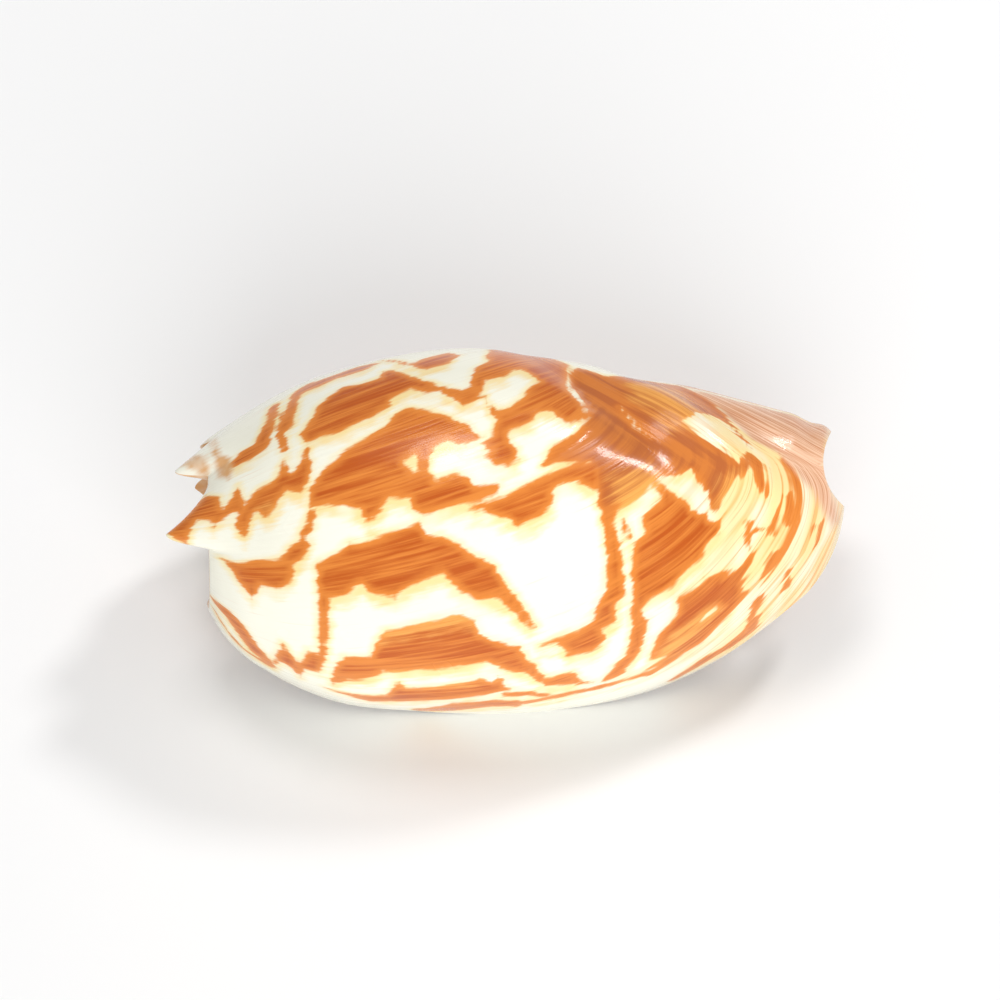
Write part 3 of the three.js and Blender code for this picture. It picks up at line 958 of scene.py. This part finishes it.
def ground_paint(finish, noise, tint, mark, jitter):
    """Cream ground: warm towards the nose, yellow beside the patches and under them."""
    fine, broad, cloud = noise["fine"], noise["broad"], noise["cloud"]
    warm = finish.value("warm")
    halo = finish.product(finish.span(mark, *HALO_EDGE), finish.span(cloud, *HALO_CLOUD))
    bleed = finish.sum(finish.value("bleed"), finish.product(jitter, BLEED_JITTER))
    warm_cloud = finish.product(warm, finish.span(cloud, *WARM_CLOUD))
    ground = finish.blend(warm_cloud, tint["cream"], tint["warm"])
    ground = finish.blend(halo, ground, tint["halo"])
    bleed_cloud = finish.product(finish.span(bleed, *BLEED_EDGE), finish.span(cloud, *BLEED_CLOUD))
    ground = finish.blend(bleed_cloud, ground, tint["warm"])
    ground = finish.blend(finish.span(fine, *GROUND_LINES), ground, tint["orange"])
    warm_bands = finish.product(warm, finish.span(broad, *WARM_BANDS))
    ground = finish.blend(warm_bands, ground, tint["amber"])
    warm_lines = finish.product(warm, finish.span(fine, *WARM_LINES))
    return finish.blend(warm_lines, ground, tint["orange"])


def patch_paint(finish, noise, tint, mark, jitter):
    """Brown patches with orange rims, streaked along growth, reddish on the flank and amber in places."""
    fine, broad = noise["fine"], noise["broad"]
    streak = finish.span(finish.between(FINE_IN_STREAKS, broad, fine), *STREAKS)
    calm = finish.span(finish.between(FINE_IN_CALM_STREAKS, broad, fine), *CALM_STREAKS)
    deep = finish.blend(streak, tint["brown"], tint["orange"])
    patch = finish.blend(finish.span(mark, *CORE_EDGE), tint["orange"], deep)
    red = finish.blend(finish.span(calm, *RED_STREAKS), tint["reddish"], tint["orange"])
    patch = finish.blend(finish.span(finish.value("reddish"), *RED_EDGE), patch, red)
    amber = finish.sum(finish.value("amber"), finish.product(jitter, AMBER_JITTER))
    amber = finish.product(finish.span(amber, *AMBER_EDGE), finish.span(streak, *AMBER_STREAKS))
    return finish.blend(amber, patch, tint["amber"])


def band_and_crown_paint(finish, noise, tint, paint, jitter):
    """The flesh band, the tan (partly painted shade on a spine), the first whorls and the glaze of the
    mouth.
    """
    fine, spots = noise["fine"], noise["spots"]
    skin = finish.blend(finish.span(fine, *FLESH_LINES), tint["flesh"], tint["pale_flesh"])
    band = finish.sum(finish.value("flesh"), finish.product(jitter, FLESH_JITTER))
    paint = finish.blend(finish.span(band, *FLESH_EDGE), paint, skin)
    # Tan over the crown and the second spine; on that spine's lower face it is painted shade as well.
    tan = finish.sum(finish.value("tan"), jitter)
    tan = finish.product(finish.span(tan, *TAN_EDGE), finish.span(spots, *TAN_SPOTS))
    paint = finish.blend(tan, paint, tint["tan"])
    first = finish.blend(finish.span(spots, *WHORL_SPOTS), tint["first_whorl"], tint["tan"])
    paint = finish.blend(finish.span(finish.value("crown"), *CROWN_EDGE), paint, first)
    paint = finish.blend(finish.product(finish.value("seam"), SEAM_STRENGTH), paint, tint["reddish"])
    paint = finish.blend(finish.product(finish.value("glaze"), GLAZE_STRENGTH), paint, tint["glaze"])
    return finish.blend(finish.value("inner"), paint, tint["glaze"])


def shell_finish(colours):
    """The shell's paint, growth lines and gloss."""
    tint = {name: tuple(getattr(colours, name)) for name in ShellColours.__annotations__}
    finish = Finish("grown shell")
    noise = growth_noise(finish)

    # Patch edges run out along the growth lines, most of all towards the nose.
    jitter = finish.sum(finish.swung(noise["fine"], FINE_JITTER),
                        finish.swung(noise["ragged"], RAGGED_JITTER))
    loose = finish.product(finish.value("warm"), finish.swung(noise["broad"], LOOSE_JITTER))
    mark = finish.sum(finish.sum(finish.value("mark"), jitter), loose)

    ground = ground_paint(finish, noise, tint, mark, jitter)
    patch = patch_paint(finish, noise, tint, mark, jitter)
    paint = finish.blend(finish.span(mark, *PATCH_EDGE), ground, patch)
    paint = band_and_crown_paint(finish, noise, tint, paint, jitter)

    shader = finish.shader.inputs
    finish.feed(shader["Base Color"], paint)
    finish.feed(shader["Roughness"], finish.span(noise["cloud"], *NOISE_RANGE, *ROUGHNESS, smooth=False))
    shader["Specular IOR Level"].default_value = SPECULAR_LEVEL
    shader["Coat Weight"].default_value = COAT_WEIGHT
    shader["Coat Roughness"].default_value = COAT_ROUGHNESS
    bump = finish.node("ShaderNodeBump")
    bump.inputs["Strength"].default_value = BUMP_STRENGTH
    bump.inputs["Distance"].default_value = BUMP_DISTANCE
    finish.feed(bump.inputs["Height"], noise["fine"])
    finish.feed(shader["Normal"], bump.outputs["Normal"])
    return finish.material


def give_values(mesh, points, values, hollow_points):
    """Carry the values of the grown outside over to the cut mesh, and mark what lies in the hollow."""
    outside = tree_of(points)
    hollow = tree_of(hollow_points)
    source = np.empty(len(mesh.vertices), dtype=int)
    inner = np.zeros(len(mesh.vertices))
    for i, vertex in enumerate(mesh.vertices):
        source[i] = outside.find(vertex.co)[1]
        inner[i] = hollow.find(vertex.co)[2] < SAME_POINT
    carried = {name: value[source] for name, value in values.items()}
    carried["inner"] = inner
    for name, value in carried.items():
        if value.ndim == 2:
            layer = mesh.attributes.new(name, "FLOAT_VECTOR", "POINT")
            layer.data.foreach_set("vector", value.astype(np.float32).ravel())
        else:
            layer = mesh.attributes.new(name, "FLOAT", "POINT")
            layer.data.foreach_set("value", value.astype(np.float32))


def set_down(mesh):
    """Cut off what lies below the ground, and close the flats that this leaves."""
    bm = bmesh.new()
    bm.from_mesh(mesh)
    everything = bm.verts[:] + bm.edges[:] + bm.faces[:]
    cut = bmesh.ops.bisect_plane(bm, geom=everything, dist=GROUND_PRECISION,
                                 plane_co=(0, 0, 0), plane_no=(0, 0, 1), clear_inner=True)
    rims = [edge for edge in cut["geom_cut"] if isinstance(edge, bmesh.types.BMEdge)]
    bmesh.ops.holes_fill(bm, edges=rims)
    bm.to_mesh(mesh)
    bm.free()


class SHELL_OT_grow(bpy.types.Operator):
    """Grow the shell as one piece, with its crown, mouth and notch"""

    bl_idname = "melon.grow_shell"
    bl_label = "Grow shell"

    def execute(self, context):
        body, points, x, around, crown, seam = grow_body()
        hollow, hollow_points = grow_cavity()
        mesh = taken_away(body, [hollow, notch_cutter()])
        mesh.name = "melon_shell"
        give_values(mesh, points, surface_values(points, x, around, crown, seam), hollow_points)
        mesh.transform(rest_matrix())
        set_down(mesh)
        mesh.shade_smooth()
        mesh.set_sharp_from_angle(angle=math.radians(SHARP_ANGLE))
        piece = bpy.data.objects.new("melon_shell", mesh)
        context.scene.collection.objects.link(piece)
        mesh.materials.clear()
        mesh.materials.append(shell_finish(context.scene.shell_colours))
        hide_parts(NODE)
        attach(piece, "root")
        return {"FINISHED"}


def lay_floor(colours):
    """A plain pale floor."""
    bm = bmesh.new()
    bmesh.ops.create_grid(bm, x_segments=1, y_segments=1, size=FLOOR_REACH)
    floor = as_piece(bm, "floor")
    paint = bpy.data.materials.new("floor paint")
    paint.use_nodes = True
    shader = paint.node_tree.nodes["Principled BSDF"].inputs
    shader["Base Color"].default_value = (*colours.floor, 1)
    shader["Roughness"].default_value = FLOOR_ROUGHNESS
    floor.data.materials.append(paint)


def set_camera(sizes):
    """A camera that looks at the shell as the photograph does, from far enough to flatten it."""
    lie = rest_matrix()
    tilt = math.atan(AXIS_RISE)
    right = (lie.to_3x3() @ Vector((math.cos(tilt), 0, -math.sin(tilt)))).normalized()
    up = (lie.to_3x3() @ Vector((math.sin(tilt), 0, math.cos(tilt)))).normalized()
    back = right.cross(up)
    aim_x, aim_height = from_photo(np.full(2, PHOTO_PIXELS / 2))
    aim = lie @ Vector((aim_x, 0, aim_height))
    data = bpy.data.cameras.new("camera")
    data.sensor_width = SENSOR_WIDTH
    data.lens = SENSOR_WIDTH * sizes.camera_distance / sizes.frame_width
    data.clip_end = CAMERA_SIGHT
    camera = bpy.data.objects.new("camera", data)
    turned = Matrix((right, up, back)).transposed().to_4x4()
    camera.matrix_world = Matrix.Translation(aim + back * sizes.camera_distance) @ turned
    bpy.context.scene.collection.objects.link(camera)
    bpy.context.scene.camera = camera


def hang_light(name, at, size, power, gloss=True):
    """A round soft light; one without gloss lights the shell but isn't mirrored in it."""
    lamp = bpy.data.lights.new(name, "AREA")
    lamp.shape = "DISK"
    lamp.size = size
    lamp.energy = power
    light = bpy.data.objects.new(name, lamp)
    light.location = at
    light.rotation_euler = (Vector(LIGHT_AIM) - Vector(at)).to_track_quat("-Z", "Y").to_euler()
    light.visible_glossy = gloss
    bpy.context.scene.collection.objects.link(light)


class SHELL_OT_stage(bpy.types.Operator):
    """Lay the pale floor, hang the lights and set the camera"""

    bl_idname = "melon.stage"
    bl_label = "Stage"

    def execute(self, context):
        lay_floor(context.scene.shell_colours)
        set_camera(context.scene.shell_sizes)
        for name, settings in LIGHTS.items():
            hang_light(name, **settings)
        world = bpy.data.worlds.new("studio")
        world.use_nodes = True
        studio = world.node_tree.nodes["Background"].inputs
        studio["Color"].default_value = (1, 1, 1, 1)
        studio["Strength"].default_value = STUDIO_STRENGTH
        context.scene.world = world
        context.scene.view_settings.view_transform = "Standard"
        return {"FINISHED"}


class SHELL_PT_panel(bpy.types.Panel):
    """Steps that make the melon shell"""

    bl_idname = "SHELL_PT_panel"
    bl_label = "Melon shell"
    bl_space_type = "VIEW_3D"
    bl_region_type = "UI"
    bl_category = "Melon shell"

    def draw(self, context):
        for group in (context.scene.shell_sizes, context.scene.shell_colours):
            for name in group.__annotations__:
                self.layout.prop(group, name)
        for operator in (SHELL_OT_grow, SHELL_OT_stage):
            self.layout.operator(operator.bl_idname)


CLASSES = (ShellSizes, ShellColours, SHELL_OT_grow, SHELL_OT_stage, SHELL_PT_panel)


def register():
    for cls in CLASSES:
        bpy.utils.register_class(cls)
    bpy.types.Scene.shell_sizes = PointerProperty(type=ShellSizes)
    bpy.types.Scene.shell_colours = PointerProperty(type=ShellColours)


def unregister():
    del bpy.types.Scene.shell_colours
    del bpy.types.Scene.shell_sizes
    for cls in reversed(CLASSES):
        bpy.utils.unregister_class(cls)


def main():
    register()
    bpy.ops.melon.grow_shell()
    bpy.ops.melon.stage()


if __name__ == "__main__":
    main()
